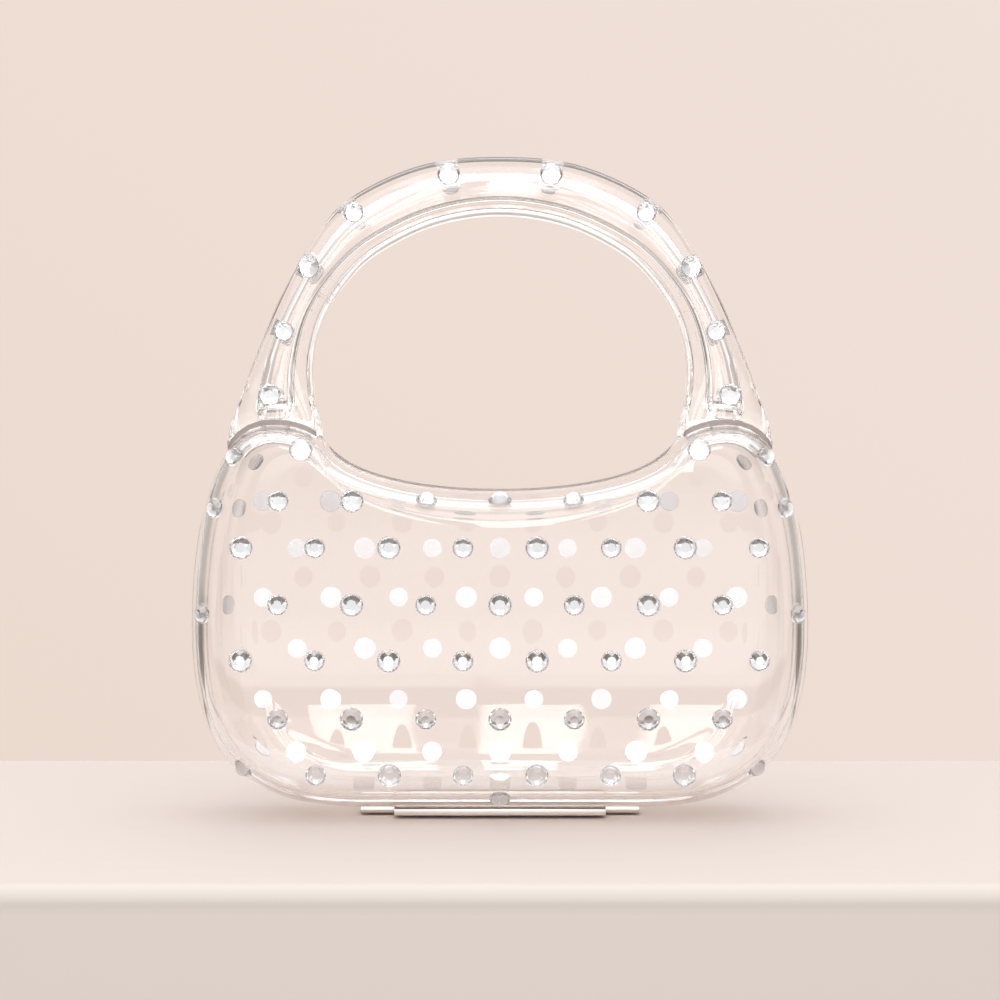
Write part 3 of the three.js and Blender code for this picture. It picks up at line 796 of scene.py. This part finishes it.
tableTop = bmesh.new()
boxBetween(tableTop, (-stageSize["tableSide"], stageSize["tableFront"], stageSize["tableFoot"]),
           (stageSize["tableSide"], stageSize["tableBack"], -stageSize["tableDrop"]))
halfWay = stageSize["tableFoot"] * mm / 2
lip = [e for e in tableTop.edges if all(v.co.z > halfWay and v.co.y < 0 for v in e.verts)]
bmesh.ops.bevel(tableTop, geom=lip, offset=stageSize["edgeRound"] * mm, segments=10, profile=0.5,
                affect="EDGES", material=-1)
table = meshObject(tableTop, "tableTop", tablePaint())
smoothed(table, angle=40)
wallSheet = bmesh.new()
boxBetween(wallSheet, (-stageSize["wallSide"], stageSize["wallBack"], stageSize["wallLow"]),
           (stageSize["wallSide"], stageSize["wallBack"] + stageSize["wallThick"], stageSize["wallHigh"]))
backdrop = meshObject(wallSheet, "backdrop", wallPaper())

# Lights: a broad softbox straight overhead, and a row of narrow window panes over the camera
lights = {
    "key": {"at": (0, 0, 1000), "aim": (0, 1, 0), "size": (1400, 1300), "power": 7},
}
panes = {
    "places": [(-215, 90), (-95, 70), (20, 75), (130, 60), (240, 100)],  # place across, and width
    "away": -1500, "height": 680, "tall": 640, "aimHeight": 60,
    "widthPerWatt": 130,
}
for i, (x, wide) in enumerate(panes["places"]):
    lights[f"pane{i}"] = {"at": (x, panes["away"], panes["height"]), "aim": (x, 0, panes["aimHeight"]),
                          "size": (wide, panes["tall"]), "power": wide / panes["widthPerWatt"]}
for name, lamp in lights.items():
    light = bpy.data.lights.new(name, "AREA")
    light.shape = "RECTANGLE"
    light.size, light.size_y = (s * mm for s in lamp["size"])
    light.energy = lamp["power"]
    holder = bpy.data.objects.new(name, light)
    holder.location = Vector(lamp["at"]) * mm
    holder.rotation_euler = (Vector(lamp["aim"]) - Vector(lamp["at"])).to_track_quat("-Z", "Y").to_euler()
    holder.visible_camera = False
    bpy.context.scene.collection.objects.link(holder)

# Room: white walls towards the camera, dim ones behind and a dark floor,
# as levels against the sine of the elevation
roomLight = {
    "front": [(-0.99, 0.2), (-0.36, 0.2), (-0.3, 0.3), (-0.15, 0.3), (-0.115, 1.5), (-0.03, 1.5),
              (0.0, 1.1), (0.08, 1.1), (0.14, 1.2), (0.42, 1.3), (0.52, 2), (0.76, 2), (0.86, 1.3)],
    "behind": [(-0.99, 0.2), (-0.06, 0.2), (0.0, 0.5), (0.36, 0.5), (0.48, 0.9), (0.99, 1.2)],
}
roomTint = {"below": 0.9, "brown": 0.2}  # below this level, the darker the browner
world = bpy.data.worlds.new("studio")
world.use_nodes = True
room = world.node_tree
room.nodes.clear()
direction = addNode(room, "ShaderNodeTexCoord").outputs["Generated"]
towards = addNode(room, "ShaderNodeSeparateXYZ", {0: direction})
height = addNode(room, "ShaderNodeMapRange", {
    "Value": towards.outputs["Z"], "From Min": -1.0, "From Max": 1.0})
bands = []
for levels in roomLight.values():
    band = addNode(room, "ShaderNodeValToRGB", {0: height.outputs[0]})
    stops = band.color_ramp.elements
    for sine, level in levels:
        warm = 1 - max(roomTint["below"] - level, 0) * roomTint["brown"]
        stops.new((sine + 1) / 2).color = (level, level * warm, level * warm ** 2, 1)
    stops.remove(stops[0])  # the two that a new ramp starts with
    stops.remove(stops[-1])
    bands.append(band.outputs[0])
turning = addNode(room, "ShaderNodeMapRange", {
    "Value": towards.outputs["Y"], "From Min": -0.5, "From Max": -0.3})
around = addNode(room, "ShaderNodeMix", {
    "Factor": turning.outputs[0], 6: bands[0], 7: bands[1]}, data_type="RGBA")
glow = addNode(room, "ShaderNodeBackground", {"Color": around.outputs[2]})
addNode(room, "ShaderNodeOutputWorld", {0: glow.outputs[0]})
bpy.context.scene.world = world

# Camera: level, a little under half the height of the bag
cameraSize = {"distance": 666, "height": 98.6, "lens": 50, "sensor": 24, "shift": 0.005}
cameraData = bpy.data.cameras.new("camera")
cameraData.lens = cameraSize["lens"]
cameraData.sensor_width = cameraSize["sensor"]
cameraData.shift_y = cameraSize["shift"]
cameraData.clip_start = 0.01
camera = bpy.data.objects.new("camera", cameraData)
camera.location = (0, -cameraSize["distance"] * mm, cameraSize["height"] * mm)
camera.rotation_euler = (pi / 2, 0, 0)
bpy.context.scene.collection.objects.link(camera)
bpy.context.scene.camera = camera

scene = bpy.context.scene
scene.view_settings.view_transform = "Standard"
scene.cycles.max_bounces = 64
scene.cycles.transmission_bounces = 64
scene.cycles.glossy_bounces = 32
scene.cycles.transparent_max_bounces = 32
print("stage, lights and camera set")
